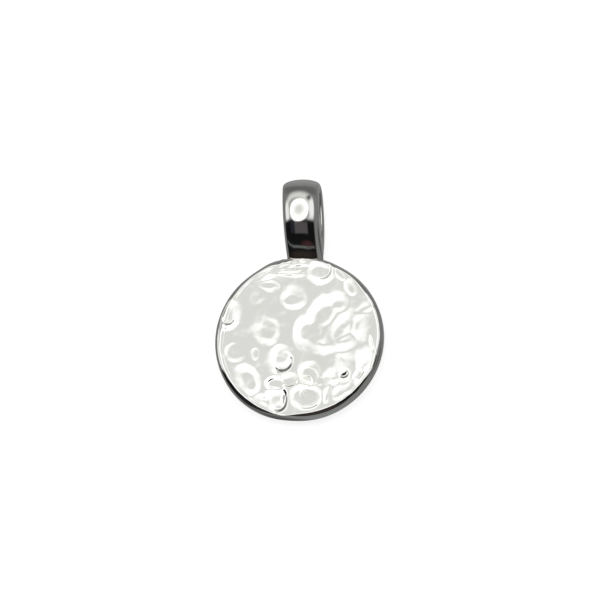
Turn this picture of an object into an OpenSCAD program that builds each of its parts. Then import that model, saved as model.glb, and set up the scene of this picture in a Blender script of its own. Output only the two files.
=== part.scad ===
// Round pendant with a hammered face and a plain loop bail fixed on its edge.
// It lies on its back as it would by itself: the bail's back and the disc's lower edge touch the
// ground, so the whole is tilted a little. Z is up, the bail points to +Y, and the origin is the
// middle of the footprint.

/* [Disc] */
// Diameter of the disc
disc_d = 20; // [16:0.5:26]
// Thickness of the disc
disc_t = 1.6; // [1.3:0.1:2.4]
// Rounding of the disc's front and back edges
rim_r = 0.45; // [0.2:0.05:0.6]

/* [Hammer marks] */
// Depth of the deepest hammer mark
mark_depth = 0.3; // [0.1:0.02:0.5]

/* [Loop bail] */
// Height of the loop above the edge of the disc
bail_h = 10; // [8:0.5:14]
// Size of the loop from front to back, at its widest level
bail_depth = 4.3; // [3.9:0.1:6]
// Distance from the top of the loop down to its widest level
widest_drop = 4.3; // [2.8:0.1:6]
// Size of the loop from front to back where it meets the edge of the disc
foot_depth = 1.25; // [0.9:0.05:1.5]
// How far the foot is sunk into the disc and soldered
seat_depth = 0.5; // [0.3:0.05:0.9]
// Width of the band
band_w = 4.3; // [3:0.1:6]
// Thickness of the band
band_t = 1.3; // [0.9:0.05:1.4]
// Radius of the domed outer face across the band
crown_r = 4.7; // [3.6:0.1:12]
// Rounding of the band's outer edges
outer_edge_r = 0.45; // [0.2:0.05:0.55]
// Rounding of the band's inner edges
inner_edge_r = 0.25; // [0.1:0.05:0.35]
// Where the loop sits on the edge of the disc, in degrees right of the middle
seat_angle = 3.2; // [-8:0.2:8]
// How far the loop leans back to the left, in degrees
bail_lean = 3.1; // [-8:0.1:8]
// How far the loop's front is turned to the left, in degrees
bail_turn = 3.9; // [-8:0.1:8]

/* [Hidden] */
$fn = 120;
// Slack by which a cutting shape passes the faces that it cuts
pass = 0.05;
// Steps to which two worked-out sizes of the loop are rounded
gap_step = 0.05;
radius_step = 0.001;

disc_r = disc_d / 2;
half_depth = bail_depth / 2;

// The loop's widest level, above the level where it meets the edge of the disc
widest_level = bail_h - widest_drop;

// Above its widest level, each side of the loop is an arc that ends tangent to the bend at the
// top. The line from the arc's centre through the bend's centre rises 7 for 24 forward, and the
// distance between the centres is a round number, so that the bends meet face to face.
RISE = 7 / 25;
FORWARD = 24 / 25;
upper_angle = atan2(RISE, FORWARD);
centre_gap = round((widest_drop - half_depth) / (RISE + FORWARD - 1) / gap_step) * gap_step;
top_r = half_depth - (1 - FORWARD) * centre_gap;
upper_r = top_r + centre_gap;
top_bend_level = widest_level + RISE * centre_gap;

// Below its widest level, each side is an arc that narrows to the foot
foot_drop = half_depth - foot_depth / 2;
lower_r = round((widest_level^2 + foot_drop^2) / (2 * foot_drop) / radius_step) * radius_step;
lower_angle = asin((widest_level + seat_depth) / lower_r);

// Rounded outer edges of the band: circles tangent to the dome and to the sides
edge_y = band_w / 2 - outer_edge_r;
edge_x = sqrt((crown_r - outer_edge_r)^2 - edge_y^2) - crown_r;
// Where the dome passes into those circles, across the band
crown_half_w = edge_y * crown_r / (crown_r - outer_edge_r);

// Places in the plane of the disc, with the disc's centre as zero
seat_at = [disc_r * sin(seat_angle), disc_r * cos(seat_angle)];
widest_y = seat_at[1] + widest_level * cos(bail_lean);
top_bend_y = seat_at[1] + top_bend_level * cos(bail_lean);

// How far the domed back of the loop reaches, turned as it is
back_reach = half_depth + (crown_r - half_depth) * (1 - cos(bail_turn));

// Tilt at which the back of the loop and the lower edge of the disc touch the same ground
reach = widest_y + disc_r - rim_r;
lift = disc_t / 2 + lower_r - back_reach - rim_r;
rest_tilt = asin((lower_r - rim_r) / norm([reach, lift])) - atan2(lift, reach);
ground_drop = (disc_r - rim_r) * sin(rest_tilt) - rim_r * cos(rest_tilt) + rim_r;

// Ends of the tilted pendant along Y, which put the origin in the middle
low_end = -(disc_r - rim_r) * cos(rest_tilt) - (disc_t - rim_r) * sin(rest_tilt) - rim_r;
high_end = top_bend_y * cos(rest_tilt) - disc_t / 2 * sin(rest_tilt) + top_r;

// Hammer marks, charted by eye: place and radius as shares of the disc's radius,
// depth as a share of the deepest mark. A long mark is a row of round blows.
ACROSS = 0;
UP = 1;
RADIUS = 2;
DEPTH = 3;
MARKS = [
    // upper left
    [-0.07, 0.49, 0.17, 0.90],
    [-0.38, 0.67, 0.12, 0.60],
    [-0.43, 0.80, 0.10, 0.45],
    [-0.50, 0.52, 0.10, 0.20],
    [-0.80, 0.33, 0.16, 0.80],
    [-0.37, 0.11, 0.20, 0.40],
    // along the top
    [-0.15, 0.83, 0.09, 0.55],
    [-0.06, 0.83, 0.09, 0.55],
    [ 0.03, 0.83, 0.09, 0.55],
    [ 0.25, 0.82, 0.15, 0.75],
    [ 0.50, 0.76, 0.11, 0.55],
    [ 0.68, 0.58, 0.12, 0.55],
    // wide field on the right
    [ 0.15, 0.04, 0.22, 0.65],
    [ 0.31, 0.29, 0.21, 0.70],
    [ 0.48, 0.41, 0.13, 0.65],
    [ 0.51, 0.10, 0.16, 0.60],
    [ 0.36,-0.10, 0.13, 0.40],
    [ 0.77, 0.34, 0.13, 0.55],
    [ 0.88,-0.10, 0.12, 0.45],
    // lower left
    [-0.21,-0.26, 0.17, 1.00],
    [-0.77,-0.16, 0.13, 0.50],
    [-0.51,-0.18, 0.07, 0.35],
    [-0.60,-0.44, 0.16, 0.75],
    [-0.56,-0.57, 0.14, 0.70],
    [-0.29,-0.55, 0.12, 0.70],
    [-0.18,-0.54, 0.11, 0.60],
    [-0.27,-0.73, 0.13, 0.80],
    [-0.25,-0.83, 0.12, 0.75],
    // lower right
    [ 0.13,-0.44, 0.15, 0.70],
    [ 0.09,-0.74, 0.19, 0.85],
    [ 0.27,-0.55, 0.10, 0.45],
    [ 0.38,-0.72, 0.12, 0.45],
    [ 0.60,-0.40, 0.15, 0.80],
    [ 0.63,-0.62, 0.11, 0.45]
];

// Radius of the ball that leaves a round mark of the given radius and depth
function ball_r(radius, depth) = (radius^2 + depth^2) / (2 * depth);

// Right half of the disc's cross-section: flat faces and two rounded edges
module disc_profile() {
    square([disc_r - rim_r, disc_t]);
    translate([0, rim_r]) square([disc_r, disc_t - 2 * rim_r]);
    for (y = [rim_r, disc_t - rim_r]) translate([disc_r - rim_r, y]) circle(rim_r);
}

// One blow of the hammer into the front face: the end of a ball, cut off just above the face
module hammer_mark(mark) {
    depth = mark[DEPTH] * mark_depth;
    r = ball_r(mark[RADIUS] * disc_r, depth);
    translate([mark[ACROSS] * disc_r, mark[UP] * disc_r, disc_t - depth])
        rotate_extrude() intersection() {
            translate([0, r]) circle(r);
            square([disc_r, depth + pass]);
        }
}

// The disc, back face on z = 0 before it is tilted
module hammered_disc() {
    difference() {
        rotate_extrude() disc_profile();
        for (mark = MARKS) hammer_mark(mark);
    }
}

// Cross-section of the band: x runs outwards and ends at 0 on the crown, y runs across
module band_section() {
    intersection() {
        translate([-crown_r, 0]) circle(crown_r);
        translate([-band_t, -crown_half_w]) square([band_t, 2 * crown_half_w]);
    }
    for (side = [-1, 1]) {
        translate([edge_x, side * edge_y]) circle(outer_edge_r);
        translate([inner_edge_r - band_t, side * (band_w / 2 - inner_edge_r)]) circle(inner_edge_r);
    }
    translate([-band_t, inner_edge_r - band_w / 2])
        square([band_t + edge_x, band_w - 2 * inner_edge_r]);
    translate([inner_edge_r - band_t, -band_w / 2])
        square([band_t - inner_edge_r + edge_x, band_w]);
}

// A stretch of the band bent round a centre. Angles run from the front, 0, to the top, 90,
// and a negative sweep runs downwards.
module bent_band(level, ahead, r, start, sweep) {
    translate([0, level, ahead]) rotate([0, -90, 0]) rotate([0, 0, start])
        mirror([0, sweep < 0 ? 1 : 0, 0])
            rotate_extrude(angle = abs(sweep)) translate([r, 0]) band_section();
}

// Front half of the loop: each bend is cut off where the next begins, and all at the middle
module half_loop() {
    intersection() {
        union() {
            bent_band(top_bend_level, 0, top_r, upper_angle, 90);
            intersection() {
                bent_band(widest_level, half_depth - upper_r, upper_r, upper_angle, -2 * upper_angle);
                translate([-band_w, widest_level, -bail_depth]) cube([2 * band_w, bail_h, 2 * bail_depth]);
            }
            bent_band(widest_level, half_depth - lower_r, lower_r, 0, -lower_angle);
        }
        translate([-band_w, -bail_h, 0]) cube([2 * band_w, 3 * bail_h, half_depth + pass]);
    }
}

// The loop bail, seated on the edge of the disc
module loop_bail() {
    translate([seat_at[0], seat_at[1], disc_t / 2])
        rotate([0, 0, bail_lean]) rotate([0, -bail_turn, 0]) {
            half_loop();
            mirror([0, 0, 1]) half_loop();
        }
}

// Disc and loop are soldered into one piece of silver
module disc_with_bail() {
    color("silver")
        translate([0, -(low_end + high_end) / 2, ground_drop]) rotate([rest_tilt, 0, 0]) {
            hammered_disc();
            loop_bail();
        }
}

disc_with_bail();
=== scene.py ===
# Dresses a round silver pendant with a hammered face and a plain loop bail.
# It lies on its back as it would by itself. Lengths below are in millimetres and MM turns them to
# metres. The shapes are worked out in the pendant's own frame: x to the right, y towards the bail,
# n out of the hammered face, and the middle of the disc's flat back as zero.
import math

import bmesh
import bpy
import numpy as np
from mathutils import Matrix


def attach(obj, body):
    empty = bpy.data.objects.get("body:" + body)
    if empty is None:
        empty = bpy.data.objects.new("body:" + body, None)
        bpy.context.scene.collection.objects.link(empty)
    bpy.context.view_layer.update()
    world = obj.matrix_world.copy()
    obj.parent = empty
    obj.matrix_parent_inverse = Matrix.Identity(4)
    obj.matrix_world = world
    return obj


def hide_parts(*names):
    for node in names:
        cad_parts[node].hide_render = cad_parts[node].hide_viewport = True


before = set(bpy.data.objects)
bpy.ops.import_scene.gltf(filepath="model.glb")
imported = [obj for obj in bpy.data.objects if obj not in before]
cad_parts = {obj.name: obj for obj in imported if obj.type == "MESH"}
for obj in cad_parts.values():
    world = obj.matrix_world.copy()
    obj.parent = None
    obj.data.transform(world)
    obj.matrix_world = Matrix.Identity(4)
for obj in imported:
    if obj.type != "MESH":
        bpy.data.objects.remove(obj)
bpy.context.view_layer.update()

MM = 0.001
WELD = 1e-7

# Disc
DISC_R = 10.0
DISC_T = 1.6
BACK_EDGE_R = 0.45

# Loop bail: sizes from front to back are taken over its domed faces
BAIL_H = 10.0
BAIL_DEPTH = 4.3
WIDEST_DROP = 4.3
FOOT_DEPTH = 1.25
SEAT_DEPTH = 0.5
BAND_W = 4.3
BAND_T = 1.3
DOME_H = 0.70
INNER_EDGE_R = 0.25
SEAT_ANGLE = math.radians(3.2)
BAIL_LEAN = math.radians(3.1)
BAIL_TURN = math.radians(3.9)

# The loop's arcs, as in the part: above the widest level they end tangent to the top bend
RISE, FORWARD = 7 / 25, 24 / 25
WIDEST_LEVEL = BAIL_H - WIDEST_DROP
CENTRE_GAP = 8.95
TOP_R = BAIL_DEPTH / 2 - (1 - FORWARD) * CENTRE_GAP
UPPER_R = TOP_R + CENTRE_GAP
TOP_BEND_LEVEL = WIDEST_LEVEL + RISE * CENTRE_GAP
FOOT_DROP = (BAIL_DEPTH - FOOT_DEPTH) / 2
LOWER_R = (WIDEST_LEVEL ** 2 + FOOT_DROP ** 2) / (2 * FOOT_DROP)

# How the pendant lies: tilted about x, then moved along y and up
REST_TILT = math.radians(3.1134)
REST_SHIFT = (0.0, -4.92588, 0.519348)

# The photograph's view: the camera's right, up and backward directions in the pendant's frame,
# how many pixels a millimetre takes, and where the middle of the disc falls in the picture
VIEW_RIGHT = (0.98798, 0.01345, -0.15397)
VIEW_UP = (0.03745, 0.94568, 0.32294)
VIEW_BACK = (0.14995, -0.32482, 0.93381)
PICTURE = 600
PX_PER_MM = 8.5
DISC_AT_PX = (299.6, 340.0)
LENS = 400.0
SENSOR = 36.0


def turn_x(angle):
    """A turn about x, as a 3 by 3 array that multiplies points from the right."""
    c, s = math.cos(angle), math.sin(angle)
    return np.array([[1, 0, 0], [0, c, s], [0, -s, c]])


def laid_down(points):
    """Points of the pendant's frame in millimetres, as it lies, in metres."""
    return (points @ turn_x(REST_TILT) + np.array(REST_SHIFT)) * MM


def smooth_step(low, high, x):
    """0 up to low, 1 from high on, and the cubic 3t2 - 2t3 in between."""
    t = np.clip((x - low) / (high - low), 0, 1)
    return t * t * (3 - 2 * t)


def grid_faces(rows, columns, rows_close, columns_close):
    """Quads of a grid of points, with four corners each, anticlockwise for rows up, columns right."""
    i = np.arange(rows if rows_close else rows - 1)[:, None]
    j = np.arange(columns if columns_close else columns - 1)[None, :]
    up, right = (i + 1) % rows, (j + 1) % columns
    corners = [i * columns + j, i * columns + right, up * columns + right, up * columns + j]
    return np.stack(np.broadcast_arrays(*corners), axis=-1).reshape(-1, 4)


def new_piece(name, points, faces, material):
    """A smooth mesh from an array of points in metres and an array of quads. Points that coincide,
    as at the pole of a disc, are welded into one, and quads that shrink to nothing go."""
    mesh = bpy.data.meshes.new(name)
    mesh.from_pydata(points, [], faces.tolist())
    joined = bmesh.new()
    joined.from_mesh(mesh)
    bmesh.ops.remove_doubles(joined, verts=joined.verts, dist=WELD)
    joined.to_mesh(mesh)
    joined.free()
    mesh.polygons.foreach_set("use_smooth", np.ones(len(mesh.polygons), bool))
    mesh.materials.append(material)
    piece = bpy.data.objects.new(name, mesh)
    bpy.context.scene.collection.objects.link(piece)
    return piece


# The hammered disc

# Points round the disc, from the rim to the middle of its face, along a quarter bend, and along its
# side and its back
AROUND = 512
FACE_RINGS = 148
BEND_STEPS = 13
SIDE_STEPS = 4

# Hammer marks. Each is an oval hollow with an oval floor, both placed and sized in shares
# of the disc's radius and turned together, in degrees. Then come its depth in millimetres, how
# much deeper it gets to the right and up, as shares per half-length, and how soft its edges are.
(ACROSS, UP, LONG, WIDE, TURN, FLOOR_ACROSS, FLOOR_UP, FLOOR_LONG, FLOOR_WIDE,
 DEPTH, TIP_RIGHT, TIP_UP, SOFT) = range(13)
MARKS = [
    # upper left
    (-0.065, 0.500, 0.165, 0.160, 0, -0.100, 0.470, 0.075, 0.055, 0.095, 0.5, 0.3, 0.15),
    (-0.360, 0.662, 0.145, 0.090, -10, -0.370, 0.672, 0.080, 0.032, 0.055, 0.3, -0.4, 0.15),
    (-0.390, 0.810, 0.180, 0.085, 30, -0.380, 0.825, 0.020, 0.010, 0.090, 0, 0, 0.20),
    (-0.480, 0.545, 0.110, 0.100, 60, -0.480, 0.545, 0.040, 0.030, 0.040, 0, 0, 0.50),
    (-0.840, 0.310, 0.195, 0.160, 80, -0.855, 0.320, 0.080, 0.050, 0.125, 0, -0.1, 0.20),
    (-0.385, 0.105, 0.190, 0.175, 90, -0.370, 0.120, 0.110, 0.090, 0.070, 0, -0.5, 0.30),
    # along the top
    (-0.110, 0.800, 0.190, 0.058, -3, -0.110, 0.805, 0.120, 0.014, 0.038, 0, 0, 0.20),
    (-0.050, 0.872, 0.180, 0.052, 4, -0.040, 0.872, 0.100, 0.012, 0.034, 0, 0, 0.20),
    (-0.190, 0.885, 0.090, 0.055, 20, -0.190, 0.885, 0.040, 0.015, 0.034, 0, 0, 0.20),
    (0.250, 0.805, 0.175, 0.165, 0, 0.235, 0.815, 0.085, 0.070, 0.095, 0.3, 0, 0.15),
    (0.485, 0.770, 0.105, 0.062, -50, 0.480, 0.772, 0.070, 0.020, 0.042, 0, 0, 0.20),
    (0.615, 0.600, 0.120, 0.085, -65, 0.605, 0.600, 0.070, 0.030, 0.048, 0, 0, 0.20),
    # wide field on the right: one broad hollow with deeper blows in it
    (0.380, 0.110, 0.460, 0.330, 38, 0.430, 0.090, 0.150, 0.060, 0.100, 0, 0, 0.25),
    (0.130, 0.040, 0.275, 0.205, 90, 0.135, 0.075, 0.110, 0.115, 0.112, 0, -0.1, 0.15),
    (0.285, 0.280, 0.250, 0.195, 58, 0.295, 0.285, 0.115, 0.085, 0.145, 0, 0, 0.20),
    (0.470, 0.410, 0.155, 0.145, 0, 0.465, 0.405, 0.055, 0.050, 0.110, 0, 0, 0.25),
    (0.520, 0.125, 0.265, 0.165, 58, 0.500, 0.095, 0.110, 0.050, 0.150, 0, 0, 0.30),
    (0.290, -0.070, 0.230, 0.165, -8, 0.290, -0.085, 0.040, 0.020, 0.150, 0, 0, 0.30),
    (0.520, -0.060, 0.190, 0.145, 15, 0.520, -0.060, 0.030, 0.015, 0.140, 0, 0, 0.30),
    (0.710, 0.130, 0.200, 0.150, 80, 0.690, 0.120, 0.030, 0.020, 0.140, 0, 0, 0.35),
    (0.765, 0.335, 0.130, 0.100, 18, 0.755, 0.320, 0.070, 0.025, 0.065, 0, 0, 0.30),
    (0.870, -0.105, 0.130, 0.048, 103, 0.872, -0.105, 0.060, 0.004, 0.052, 0, 0, 0.20),
    # lower left
    (-0.205, -0.255, 0.185, 0.180, 90, -0.225, -0.250, 0.095, 0.040, 0.105, 0, -0.2, 0.20),
    (-0.740, -0.150, 0.145, 0.135, 0, -0.750, -0.135, 0.090, 0.085, 0.037, -0.5, -0.7, 0.20),
    (-0.510, -0.180, 0.080, 0.070, 90, -0.510, -0.150, 0.045, 0.025, 0.045, 0, -0.9, 0.25),
    (-0.605, -0.500, 0.210, 0.165, -64, -0.585, -0.500, 0.115, 0.065, 0.092, 0, 0, 0.15),
    (-0.260, -0.545, 0.145, 0.105, 0, -0.260, -0.550, 0.080, 0.040, 0.070, 0, 0, 0.15),
    (-0.110, -0.505, 0.130, 0.085, 0, -0.130, -0.505, 0.020, 0.015, 0.085, 0, 0, 0.30),
    (-0.260, -0.765, 0.155, 0.165, 90, -0.270, -0.775, 0.080, 0.045, 0.088, 0, -0.2, 0.20),
    (-0.420, -0.775, 0.135, 0.085, -35, -0.405, -0.762, 0.020, 0.012, 0.090, 0, 0, 0.25),
    # small blows round the foot of the bail
    (-0.270, 0.945, 0.050, 0.030, 10, -0.270, 0.945, 0.015, 0.008, 0.026, 0, 0, 0.30),
    (-0.150, 0.960, 0.045, 0.030, 0, -0.150, 0.960, 0.012, 0.008, 0.028, 0, 0, 0.30),
    (-0.060, 0.950, 0.040, 0.028, 20, -0.060, 0.950, 0.012, 0.008, 0.024, 0, 0, 0.30),
    (0.040, 0.962, 0.045, 0.028, -10, 0.040, 0.962, 0.012, 0.008, 0.026, 0, 0, 0.30),
    # lower right
    (0.140, -0.450, 0.165, 0.150, 90, 0.130, -0.455, 0.080, 0.075, 0.070, 0, 0, 0.20),
    (0.095, -0.740, 0.205, 0.185, 0, 0.085, -0.722, 0.135, 0.090, 0.074, 0.1, -0.3, 0.20),
    (0.260, -0.545, 0.070, 0.055, 90, 0.255, -0.540, 0.040, 0.025, 0.030, 0, 0, 0.20),
    (0.360, -0.700, 0.130, 0.085, 75, 0.350, -0.710, 0.080, 0.015, 0.050, 0, 0.1, 0.25),
    (0.480, -0.700, 0.120, 0.100, 20, 0.490, -0.710, 0.060, 0.030, 0.055, 0, 0, 0.30),
    (0.570, -0.385, 0.200, 0.160, 75, 0.560, -0.435, 0.040, 0.030, 0.140, 0, 0, 0.25),
    (0.530, -0.290, 0.135, 0.075, -45, 0.530, -0.290, 0.040, 0.010, 0.062, 0, 0, 0.20),
    (0.410, -0.490, 0.160, 0.110, 50, 0.420, -0.500, 0.020, 0.020, 0.110, 0, 0, 0.30),
    (0.610, -0.630, 0.120, 0.080, 40, 0.600, -0.650, 0.060, 0.025, 0.050, 0, 0, 0.30),
    (0.790, -0.340, 0.190, 0.150, 70, 0.790, -0.360, 0.020, 0.015, 0.175, 0, 0, 0.25),
    (0.690, -0.500, 0.150, 0.100, 60, 0.690, -0.500, 0.020, 0.012, 0.110, 0, 0, 0.25),
]

# Crescents where a tilted blow cut deeper on one side: the same oval, its depth in millimetres,
# the heading of its deepest side in degrees, and how far out its foot lies, as a share
CRESCENT_DEPTH, HEADING, FOOT = range(5, 8)
CRESCENTS = [
    (-0.185, -0.275, 0.135, 0.125, 90, 0.125, -46, 0.74),
    (-0.220, -0.745, 0.165, 0.100, 90, 0.170, -15, 0.74),
    (-0.285, -0.550, 0.080, 0.060, 0, 0.016, 180, 0.80),
    (-0.095, -0.515, 0.105, 0.085, 20, 0.050, -85, 0.80),
    (0.700, -0.450, 0.095, 0.075, 60, 0.030, -25, 0.80),
    (-0.850, 0.280, 0.085, 0.080, 0, 0.050, -92, 0.76),
    (0.530, -0.445, 0.075, 0.070, 0, 0.080, -50, 0.66),
    (0.110, -0.740, 0.180, 0.145, 0, 0.030, -65, 0.84),
    (0.090, -0.690, 0.080, 0.080, 30, 0.030, 150, 0.55),
    (0.085, -0.545, 0.090, 0.085, 0, 0.038, 42, 0.80),
    (0.090, -0.500, 0.160, 0.140, 0, 0.014, 35, 0.86),
    (0.265, 0.845, 0.120, 0.125, 0, 0.055, -12, 0.82),
    (0.020, 0.862, 0.090, 0.045, 8, 0.030, -88, 0.72),
    (-0.130, 0.840, 0.120, 0.060, -4, 0.020, -92, 0.78),
    (-0.040, 0.905, 0.090, 0.030, 0, 0.014, -90, 0.70),
]
# How much a hollow's outline wavers, and the sines by which it does: how many lobes they have round
# the hollow, how far they turn from one mark to the next, in radians, and how strong they are
WAVER = 0.03
WAVER_SINES = [(3, 1.7, 1.0), (5, 2.9, 0.6)]
# The power by which hollows that meet are joined, and the narrowest wall between outline and floor,
# as a share of the disc's radius
JOIN = 4
LEAST_WALL = 0.004
# The power by which a crescent's floor falls towards its foot, and how soft its steep side is
CRESCENT_FALL = 1.5
CRESCENT_SOFT = 0.2


def ramp(t, soft):
    """0 below 0, 1 above 1 and straight in between, with both ends rounded off: half of the
    difference of two hyperbolas."""
    return np.clip((np.hypot(t, soft) - np.hypot(t - 1, soft) + 1) / 2, 0, 1)


def oval_share(x, y, across, up, long, wide, turn):
    """How far out points lie in an oval, as a share: 0 at its middle and 1 on its outline."""
    turn = math.radians(turn)
    ahead, aside = x - across, y - up
    along = (ahead * math.cos(turn) + aside * math.sin(turn)) / long
    beside = (aside * math.cos(turn) - ahead * math.sin(turn)) / wide
    return np.hypot(along, beside)


def hollow_depth(x, y, mark, number):
    """Depth of one hollow: its wall falls with the share of the way from the outline to the floor,
    and its floor tips to one side. The outline wavers by two sines of the heading."""
    heading = np.arctan2(y - mark[UP], x - mark[ACROSS])
    waver = sum(part * np.sin(lobes * heading + turn * number) for lobes, turn, part in WAVER_SINES)
    outer = oval_share(x, y, *mark[:FLOOR_ACROSS]) * (1 + WAVER * waver)
    inner = oval_share(x, y, *mark[FLOOR_ACROSS:DEPTH], mark[TURN])
    far = (1 - outer) * math.sqrt(mark[LONG] * mark[WIDE])
    near = (inner - 1) * math.sqrt(mark[FLOOR_LONG] * mark[FLOOR_WIDE])
    wall = ramp(far / np.maximum(far + near, LEAST_WALL), mark[SOFT])
    off = mark[TIP_RIGHT] * (x - mark[ACROSS]) + mark[TIP_UP] * (y - mark[UP])
    return mark[DEPTH] * np.maximum(1 + off / mark[LONG], 0) * wall


def crescent_depth(x, y, mark):
    """Depth of one crescent: it falls from the oval's middle to the foot, rises steeply to the
    outline, and fades away from its heading with the square of a raised cosine."""
    out = oval_share(x, y, *mark[:CRESCENT_DEPTH])
    fall = np.minimum(out / mark[FOOT], 1) ** CRESCENT_FALL
    rise = ramp((1 - out) / (1 - mark[FOOT]), CRESCENT_SOFT)
    off = np.arctan2(y - mark[UP], x - mark[ACROSS]) - math.radians(mark[HEADING])
    return mark[CRESCENT_DEPTH] * (fall * rise) * ((1 + np.cos(off)) / 2) ** 2


# Faint waves that the polishing wheel leaves: how many, their lengths in millimetres, the steepest
# slope of the longest, the power by which shorter ones are less steep, how much a wave's line
# sways and at which share of the wave's own pace, and by how many radians the heading and the start
# of the waves move on from one to the next
WAVES = 14
LONGEST_WAVE, SHORTEST_WAVE = 5.0, 0.7
WAVE_SLOPE = 0.011
WAVE_EASE = 0.5
WAVE_SWAY = 0.8
SWAY_PACE = 0.61
WAVE_TURN = 2.4
WAVE_START = 1.3


def face_waves(x, y):
    """Height of the faint waves at points in millimetres: a sum of sines, each on a heading of its
    own, shorter from one to the next by one ratio, as high as its length lets its slope be, and
    swaying by a slower sine."""
    total = np.zeros_like(x)
    for number in range(WAVES):
        length = LONGEST_WAVE * (SHORTEST_WAVE / LONGEST_WAVE) ** (number / (WAVES - 1))
        heading = WAVE_TURN * number
        along = 2 * math.pi * (x * math.cos(heading) + y * math.sin(heading)) / length
        sway = WAVE_SWAY * np.sin(SWAY_PACE * along + number)
        slope = WAVE_SLOPE * (length / LONGEST_WAVE) ** WAVE_EASE
        total += slope * length / (2 * math.pi) * np.sin(along + sway + WAVE_START * number)
    return total


def mark_depths(x, y):
    """How deep the face lies at points x, y under its flat level. Where hollows meet, the depth is
    the root of the sum of their powers, close to the deeper one's; crescents and waves add to it."""
    waves = face_waves(x, y)
    x, y = x / DISC_R, y / DISC_R
    hollows = sum(hollow_depth(x, y, mark, n) ** JOIN for n, mark in enumerate(MARKS))
    return hollows ** (1 / JOIN) + sum(crescent_depth(x, y, mark) for mark in CRESCENTS) + waves


# How the disc's edge departs from a circle: heading in degrees, half-width in degrees, and how far
# it stands out in millimetres. It is bumpy, and filed in a little, where the bail's foot is soldered.
EDGE_SWELLS = [
    (108, 9, 0.22), (72, 7, 0.10), (140, 30, 0.06), (-95, 14, -0.13), (-140, 22, 0.05),
    (91.5, 3.4, -0.20), (85.0, 3.4, -0.20), (98, 1.6, 0.08), (101.5, 1.6, 0.08),
    (78.5, 1.8, 0.06), (74.5, 1.6, 0.05),
]
# How much tighter the front edge is drawn: heading, half-width and share, wider where negative
EDGE_TIGHTER = [
    (-101, 9, 0.55), (-116, 12, 0.20), (52, 10, 0.30), (82, 12, 0.45), (92, 9, 0.45),
    (124, 16, 0.33), (171, 14, -0.25),
]


def bells(angle, rows):
    """A sum of bell curves round the disc, each with a heading, a half-width and a height."""
    total = np.zeros_like(angle)
    for heading, half, height in rows:
        off = (np.degrees(angle) - heading + 180) % 360 - 180
        total += height * np.exp(-(off / half) ** 2)
    return total


# The front edge: a quarter oval, and inside it a shoulder where the polish has rounded the metal,
# its place and width as shares of the radius and its fall in millimetres. On the left a faint lip
# runs inside the shoulder, round a heading, with its half-width in degrees.
EDGE_OUT, EDGE_DOWN = 0.6, 0.45
SHOULDER_AT, SHOULDER_WIDE, SHOULDER_FALL = 0.935, 0.03, 0.035
LIP_AT, LIP_WIDE, LIP_FALL, LIP_HEADING, LIP_HALF = 0.905, 0.014, 0.016, 185, 75
# Half the stretch over which the lip fades out at its ends, in degrees, and how far their bends
# are rounded off, as a share of their width
LIP_FADE = 12
EDGE_SOFT = 0.2
# From which share of the radius the swellings begin, and over which shares the tightening grows
SWELL_FROM = 0.9
TIGHTEN_FROM, TIGHTEN_TO = 0.75, 0.94


def disc_profile():
    """Radius and height of the disc's outline from the middle of its back, over the rim, to the
    middle of its face: a line, a quarter circle, a line, a quarter oval and a line."""
    bend = np.linspace(0, math.pi / 2, BEND_STEPS)
    back_core, face_core = DISC_R - BACK_EDGE_R, DISC_R - EDGE_OUT
    back = np.stack([np.linspace(0, back_core, SIDE_STEPS), np.zeros(SIDE_STEPS)])
    low = np.stack([back_core + BACK_EDGE_R * np.sin(bend), BACK_EDGE_R * (1 - np.cos(bend))])
    high = np.stack([face_core + EDGE_OUT * np.cos(bend), DISC_T - EDGE_DOWN * (1 - np.sin(bend))])
    level = np.linspace(BACK_EDGE_R, DISC_T - EDGE_DOWN, SIDE_STEPS)[1:-1]
    side = np.stack([np.full_like(level, DISC_R), level])
    face = np.stack([np.linspace(face_core, 0, FACE_RINGS), np.full(FACE_RINGS, DISC_T)])
    return np.concatenate([back[:, :-1], low, side, high, face[:, 1:]], axis=1)


def edge_fall(share, angle):
    """How far the shoulder and the lip fall towards the edge, at a share of the radius."""
    off = (np.degrees(angle) - LIP_HEADING + 180) % 360 - 180
    here = 1 - smooth_step(LIP_HALF - LIP_FADE, LIP_HALF + LIP_FADE, np.abs(off))
    lip = here * LIP_FALL * ramp((share - LIP_AT) / LIP_WIDE, EDGE_SOFT)
    return lip + SHOULDER_FALL * ramp((share - SHOULDER_AT) / SHOULDER_WIDE, EDGE_SOFT)


def hammered_disc(material):
    """The disc: its outline carried round the axis, swollen and drawn in by bell curves round the
    edge, and its face sunk by the hammer marks."""
    radius, height = disc_profile()
    angle = np.arange(AROUND) * 2 * math.pi / AROUND
    share = radius[:, None] / DISC_R
    swollen = radius[:, None] + bells(angle, EDGE_SWELLS) * smooth_step(SWELL_FROM, 1, share)
    n = np.broadcast_to(height[:, None], swollen.shape)
    on_face = smooth_step(DISC_T / 2, DISC_T, n)
    inside = (DISC_R - radius[:, None]) * smooth_step(TIGHTEN_FROM, TIGHTEN_TO, share)
    swollen = swollen + bells(angle, EDGE_TIGHTER) * inside * on_face
    x, y = swollen * np.cos(angle), swollen * np.sin(angle)
    n = n - on_face * (mark_depths(x, y) + edge_fall(share, angle))
    points = laid_down(np.stack([x, y, n], axis=-1).reshape(-1, 3))
    faces = grid_faces(len(radius), AROUND, False, True)
    return new_piece("hammered_disc", points, faces, material)


# The loop bail

# Points along the lower arcs, the upper arcs and the top bend, across the dome, and round a corner
LOWER_STEPS, UPPER_STEPS, TOP_STEPS = 60, 40, 40
DOME_STEPS = 41
CORNER_STEPS = 7
# Nearer to the middle of the loop than this is its very top, in millimetres
AT_MIDDLE = 1e-6


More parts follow.
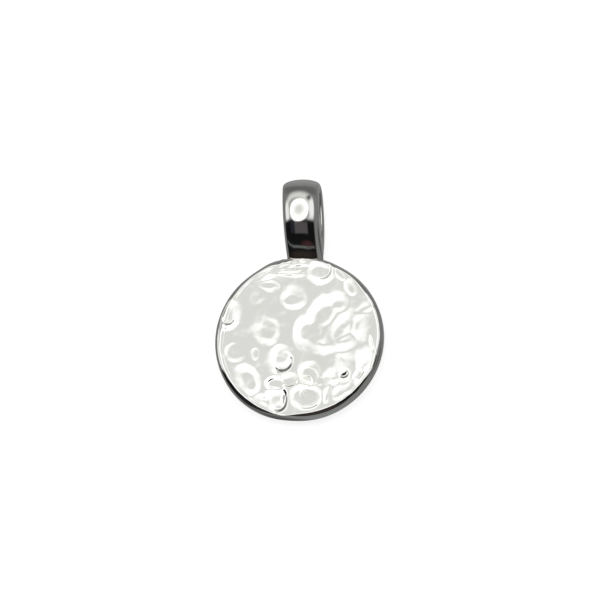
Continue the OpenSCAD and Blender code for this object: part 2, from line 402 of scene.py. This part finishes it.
def arc(level, ahead, r, start, end, steps):
    """Points of an arc as level and ahead, with the outward direction at each. The angle is 0 at
    the front and a quarter turn at the top."""
    angle = np.linspace(start, end, steps)
    out = np.stack([np.sin(angle), np.cos(angle)], axis=-1)
    return np.array([level, ahead]) + r * out, out


def loop_line():
    """The loop's outer line from the front foot over the top to the back foot: a wide arc that
    narrows to the foot, a wide arc up, the top bend, and the same down the back."""
    lean = math.atan2(RISE, FORWARD)
    low = math.asin((WIDEST_LEVEL + SEAT_DEPTH) / LOWER_R)
    parts = [
        arc(WIDEST_LEVEL, BAIL_DEPTH / 2 - LOWER_R, LOWER_R, -low, 0, LOWER_STEPS),
        arc(WIDEST_LEVEL, BAIL_DEPTH / 2 - UPPER_R, UPPER_R, 0, lean, UPPER_STEPS),
        arc(TOP_BEND_LEVEL, 0, TOP_R, lean, math.pi / 2, TOP_STEPS),
    ]
    at = np.concatenate([p[0][:-1] for p in parts] + [parts[-1][0][-1:]])
    out = np.concatenate([p[1][:-1] for p in parts] + [parts[-1][1][-1:]])
    flip = np.array([1, -1])
    return np.concatenate([at, at[-2::-1] * flip]), np.concatenate([out, out[-2::-1] * flip])


def band_outline():
    """The band's cross-section as x across and depth under the crown: half an ellipse outside,
    straight sides, and a flat inside with rounded edges."""
    half = BAND_W / 2
    turn = np.linspace(0, math.pi, DOME_STEPS)
    dome = np.stack([-half * np.cos(turn), DOME_H * (1 - np.sin(turn))], axis=-1)
    bend = np.linspace(0, math.pi / 2, CORNER_STEPS)
    r = INNER_EDGE_R
    corner = np.stack([half - r * (1 - np.cos(bend)), BAND_T - r * (1 - np.sin(bend))], axis=-1)
    other = corner[::-1] * np.array([-1, 1])
    return np.concatenate([dome, corner, other])


def loop_bail(material):
    """The bail: the band's cross-section carried along the loop, its inside stopped at the middle
    of the loop where front and back grow together, then set on the edge of the disc."""
    at, out = loop_line()
    x, under = band_outline().T
    level = at[:, :1] - out[:, :1] * under
    ahead = at[:, 1:] - out[:, 1:] * under
    side = np.sign(np.where(np.abs(at[:, 1:]) < AT_MIDDLE, 0, at[:, 1:]))
    ahead = np.where(ahead * side < 0, 0, ahead)
    across = x - math.tan(BAIL_LEAN) * level - math.tan(BAIL_TURN) * ahead
    points = np.stack([across, level, ahead], axis=-1).reshape(-1, 3)
    seat = [DISC_R * math.sin(SEAT_ANGLE), DISC_R * math.cos(SEAT_ANGLE), DISC_T / 2]
    faces = grid_faces(len(at), len(x), True, True)
    return new_piece("loop_bail", laid_down(points + seat), faces, material)


# Materials


def linear(hex_code):
    """An sRGB hex colour as linear red, green, blue and alpha."""
    parts = np.array([int(hex_code[i:i + 2], 16) / 255 for i in (1, 3, 5)])
    parts = np.where(parts <= 0.04045, parts / 12.92, ((parts + 0.055) / 1.055) ** 2.4)
    return (*parts.tolist(), 1.0)


def add(tree, kind, inputs=None, **settings):
    """Adds a node, sets its settings, and fills or links its inputs by name or number."""
    made = tree.nodes.new(kind)
    for name, value in settings.items():
        setattr(made, name, value)
    for key, value in (inputs or {}).items():
        if isinstance(value, bpy.types.NodeSocket):
            tree.links.new(value, made.inputs[key])
        else:
            made.inputs[key].default_value = value
    return made


# Sizes in millimetres. A wheel's scratches are about 0.01 mm apart and the haze between them
# 0.05 mm, too fine to show in a picture of the whole, so both are drawn some times coarser.
SCRATCH_GAP = 0.06
SCRATCH_LENGTH = 2.5
HAZE_GRAIN = 0.4
CLOUD_SIZE = 3.0
HAMMER_GRAIN = 0.35
# How high the hammer's grain and the scratches stand, in millimetres
GRAIN_HEIGHT = 0.0008
SCRATCH_HEIGHT = 0.0002
# Heading of the scratches in degrees, and their share in the veil that dulls the metal
SCRATCH_HEADING = 28
SCRATCH_SHARE = 0.25
# The stretch of the veil over which the roughness goes from its least to its most, and the stretch
# of the clouds over which the metal tarnishes
VEIL_LOW, VEIL_HIGH = 0.2, 0.6
CLEAN_ROUGHNESS, HAZY_ROUGHNESS = 0.025, 0.09
TARNISH_FROM, TARNISH_TO = 0.55, 0.8


def polished_silver():
    """Sterling silver, cast, hammered and polished on a felt wheel: a bright and slightly warm
    mirror, veiled by fine scratches that run one way, a little duller in clouds, with the faint
    grain of the hammer's face left in it."""
    material = bpy.data.materials.new("polished sterling silver")
    material.use_nodes = True
    tree = material.node_tree
    tree.nodes.clear()
    at = add(tree, "ShaderNodeTexCoord").outputs["Object"]
    # scratches: a noise drawn out along one heading
    drawn = add(tree, "ShaderNodeMapping", {
        "Vector": at, "Rotation": (0.0, 0.0, math.radians(SCRATCH_HEADING)),
        "Scale": (1 / (SCRATCH_LENGTH * MM), 1 / (SCRATCH_GAP * MM), 1 / (SCRATCH_LENGTH * MM))})
    scratch = add(tree, "ShaderNodeTexNoise", {
        "Vector": drawn.outputs["Vector"], "Scale": 1.0, "Detail": 3.0}).outputs["Fac"]
    haze = add(tree, "ShaderNodeTexNoise", {
        "Vector": at, "Scale": 1 / (HAZE_GRAIN * MM), "Detail": 4.0}).outputs["Fac"]
    clouds = add(tree, "ShaderNodeTexNoise", {
        "Vector": at, "Scale": 1 / (CLOUD_SIZE * MM), "Detail": 2.0}).outputs["Fac"]
    grain = add(tree, "ShaderNodeTexNoise", {
        "Vector": at, "Scale": 1 / (HAMMER_GRAIN * MM), "Detail": 2.0}).outputs["Fac"]
    # dullness: from the haze, a little more in the clouds and along the scratches
    veil = add(tree, "ShaderNodeMath", {0: haze, 1: clouds}, operation="MULTIPLY").outputs[0]
    veil = add(tree, "ShaderNodeMath", {
        0: scratch, 1: SCRATCH_SHARE, 2: veil}, operation="MULTIPLY_ADD").outputs[0]
    rough = add(tree, "ShaderNodeMapRange", {
        "Value": veil, "From Min": VEIL_LOW, "From Max": VEIL_HIGH,
        "To Min": CLEAN_ROUGHNESS, "To Max": HAZY_ROUGHNESS}).outputs["Result"]
    # colour: clean metal, and a breath of tarnish in the clouds
    shade = add(tree, "ShaderNodeMapRange", {
        "Value": clouds, "From Min": TARNISH_FROM, "From Max": TARNISH_TO})
    colour = add(tree, "ShaderNodeMixRGB", {
        0: shade.outputs["Result"], 1: linear("#F5F5F2"), 2: linear("#EFEEE8")}).outputs[0]
    # relief, in metres: the hammer's grain, then the scratches
    dents = add(tree, "ShaderNodeBump", {
        "Height": grain, "Strength": 1.0, "Distance": GRAIN_HEIGHT * MM})
    lines = add(tree, "ShaderNodeBump", {
        "Height": scratch, "Strength": 1.0, "Distance": SCRATCH_HEIGHT * MM,
        "Normal": dents.outputs["Normal"]})
    shader = add(tree, "ShaderNodeBsdfPrincipled", {
        "Base Color": colour, "Metallic": 1.0, "Roughness": rough, "Normal": lines.outputs["Normal"]})
    add(tree, "ShaderNodeOutputMaterial", {"Surface": shader.outputs["BSDF"]})
    return material


# Camera, floor and light


def picture_camera():
    """The camera at the photograph's angle, with a long lens."""
    right, up, back = (np.array(v) @ turn_x(REST_TILT) for v in (VIEW_RIGHT, VIEW_UP, VIEW_BACK))
    middle = np.array([0, 0, DISC_T / 2]) @ turn_x(REST_TILT) + np.array(REST_SHIFT)
    aim = middle + right * (PICTURE / 2 - DISC_AT_PX[0]) / PX_PER_MM
    aim = aim + up * (DISC_AT_PX[1] - PICTURE / 2) / PX_PER_MM
    distance = PICTURE / PX_PER_MM * LENS / SENSOR
    data = bpy.data.cameras.new("camera")
    data.lens, data.sensor_width, data.clip_start = LENS, SENSOR, 0.01
    camera = bpy.data.objects.new("camera", data)
    turn = Matrix(np.stack([right, up, back], axis=-1).tolist()).to_4x4()
    camera.matrix_world = Matrix.Translation(((aim + back * distance) * MM).tolist()) @ turn
    bpy.context.scene.collection.objects.link(camera)
    bpy.context.scene.camera = camera


# Half the floor's width in metres
FLOOR_HALF = 3.0


def floor():
    """A plain pale floor that glows a little, a flat square six metres wide."""
    corners = np.array([[-1, -1, 0], [1, -1, 0], [1, 1, 0], [-1, 1, 0]])
    points = FLOOR_HALF * corners
    material = bpy.data.materials.new("white acrylic light table")
    material.use_nodes = True
    tree = material.node_tree
    tree.nodes.clear()
    shader = add(tree, "ShaderNodeBsdfPrincipled", {
        "Base Color": linear("#F2F2F2"), "Roughness": 0.9,
        "Emission Color": linear("#FFFFFF"), "Emission Strength": 0.8})
    add(tree, "ShaderNodeOutputMaterial", {"Surface": shader.outputs["BSDF"]})
    piece = new_piece("floor", points, np.array([[0, 1, 2, 3]]), material)
    piece.visible_glossy = False


# Surroundings as the silver mirrors them, back to front: a chart in degrees round the direction
# that the face points to, x to the pendant's right and y towards its bail. Each soft shape has
# its middle, half-sizes, turn in degrees, softness of its edge as a share, and the colour seen.
SHAPE, MIDDLE, HALF, TURNED, BLUR, SHADE = range(6)
TENT = [
    # far walls: above, below, to the lower left and to the right
    ("oval", (0, 150), (120, 80), 0, 0.6, "#8C8C8C"),
    ("oval", (0, -150), (150, 90), 0, 0.6, "#7C7E7E"),
    ("oval", (-115, -110), (75, 60), 0, 0.6, "#4C4C4C"),
    ("oval", (70, -3), (18, 15), 0, 0.6, "#484A4A"),
    # dark strip over the bright arch, the arch, its duller inside, a dark spot and two side bands
    ("box", (-5, 47), (60, 5), 0, 0.5, "#606060"),
    ("oval", (-9, 22), (38, 21), 0, 0.20, "#D0D0CE"),
    ("oval", (-14, 17), (27.5, 18.5), 0, 0.10, "#A0A09E"),
    ("oval", (14, 35.5), (8, 3.5), 0, 0.60, "#585858"),
    ("oval", (-46, 16), (10.5, 15), 0, 0.35, "#E4E6E6"),
    ("oval", (22, 23), (10, 13), 0, 0.35, "#E8EAEA"),
    # dark front with what stands in it: two boxes, a reddish spot, a curved line and a brown strip
    ("box", (-20, -20), (50, 27), 0, 0.10, "#121212"),
    ("box", (-28, -3), (6, 6.5), 0, 0.30, "#23232B"),
    ("box", (-8, -3.5), (14, 7), 0, 0.14, "#4C484A"),
    ("oval", (4, -23), (13, 4), 0, 0.60, "#3A2426"),
    ("box", (-53, -18.5), (9, 1.4), -25, 0.5, "#505456"),
    ("box", (-37.5, -23.8), (9, 1.4), -14, 0.5, "#505456"),
    ("box", (-14, -26.5), (18, 1.5), -3, 0.5, "#5A5C5C"),
    ("box", (12, -26), (11, 1.5), 8, 0.5, "#50504E"),
    ("box", (-12, -36), (30, 4), 0, 0.8, "#2C2622"),
    # round lamp with a softer middle
    ("oval", (-10.5, 18.8), (21.3, 14.4), 11, 0.08, "#FFFFFF"),
    ("oval", (-10.2, 19.2), (12.2, 7.8), 11, 0.80, "#D7D8D6"),
]
TENT_GREY = "#727272"
# Share of light that polished silver gives back, and how much brighter than white the lamp is
SILVER_SHARE = 0.9
LAMP_GAIN = 1.35


def tent_light(hex_code):
    """The light that makes silver show a colour, or more than that for the lamp's white."""
    gain = (LAMP_GAIN if hex_code == "#FFFFFF" else 1) / SILVER_SHARE
    return (*(part * gain for part in linear(hex_code)[:3]), 1.0)


def tent_chart(tree):
    """A direction as a point of the chart, in degrees: its angle from the face's direction, laid
    off the way it leans."""
    way = add(tree, "ShaderNodeTexCoord").outputs["Generated"]
    lean = [
        add(tree, "ShaderNodeVectorMath", {0: way, 1: axis}, operation="DOT_PRODUCT").outputs["Value"]
        for axis in turn_x(REST_TILT).tolist()]
    off = add(tree, "ShaderNodeMath", {0: lean[2]}, operation="ARCCOSINE").outputs[0]
    flat = add(tree, "ShaderNodeCombineXYZ", {"X": lean[0], "Y": lean[1]}).outputs[0]
    heading = add(tree, "ShaderNodeVectorMath", {0: flat}, operation="NORMALIZE").outputs[0]
    degrees = add(tree, "ShaderNodeMath", {0: off, 1: 180 / math.pi}, operation="MULTIPLY").outputs[0]
    return add(tree, "ShaderNodeVectorMath", {
        0: heading, "Scale": degrees}, operation="SCALE").outputs[0]


def tent_mask(tree, chart, shape):
    """1 inside a soft oval or box of the chart and 0 outside: the distance from its middle, taken
    in half-sizes, stepped smoothly about 1."""
    off = add(tree, "ShaderNodeVectorMath", {0: chart, 1: (*shape[MIDDLE], 0)}, operation="SUBTRACT")
    turned = add(tree, "ShaderNodeVectorRotate", {
        "Vector": off.outputs[0], "Angle": math.radians(-shape[TURNED])}, rotation_type="Z_AXIS")
    sized = add(tree, "ShaderNodeVectorMath", {
        0: turned.outputs[0], 1: (1 / shape[HALF][0], 1 / shape[HALF][1], 0)}, operation="MULTIPLY")
    if shape[SHAPE] == "oval":
        out = add(tree, "ShaderNodeVectorMath", {
            0: sized.outputs[0]}, operation="LENGTH").outputs["Value"]
    else:
        whole = add(tree, "ShaderNodeVectorMath", {0: sized.outputs[0]}, operation="ABSOLUTE")
        sides = add(tree, "ShaderNodeSeparateXYZ", {0: whole.outputs[0]}).outputs
        out = add(tree, "ShaderNodeMath", {0: sides[0], 1: sides[1]}, operation="MAXIMUM").outputs[0]
    return add(tree, "ShaderNodeMapRange", {
        "Value": out, "From Min": 1 + shape[BLUR], "From Max": 1 - shape[BLUR],
    }, interpolation_type="SMOOTHSTEP").outputs["Result"]


def studio():
    """Soft light from a grey tent with a round lamp overhead and a dark front."""
    world = bpy.data.worlds.new("tent")
    bpy.context.scene.world = world
    world.use_nodes = True
    tree = world.node_tree
    tree.nodes.clear()
    chart = tent_chart(tree)
    light = add(tree, "ShaderNodeRGB").outputs[0]
    light.default_value = tent_light(TENT_GREY)
    for shape in TENT:
        light = add(tree, "ShaderNodeMixRGB", {
            0: tent_mask(tree, chart, shape), 1: light, 2: tent_light(shape[SHADE])}).outputs[0]
    back = add(tree, "ShaderNodeBackground", {"Color": light, "Strength": 1.0})
    add(tree, "ShaderNodeOutputWorld", {"Surface": back.outputs["Background"]})


picture_camera()
silver = polished_silver()
disc = hammered_disc(silver)
bail = loop_bail(silver)
for piece in (disc, bail):
    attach(piece, "root")
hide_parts("disc_with_bail")
floor()
studio()
bpy.context.scene.view_settings.view_transform = "Standard"
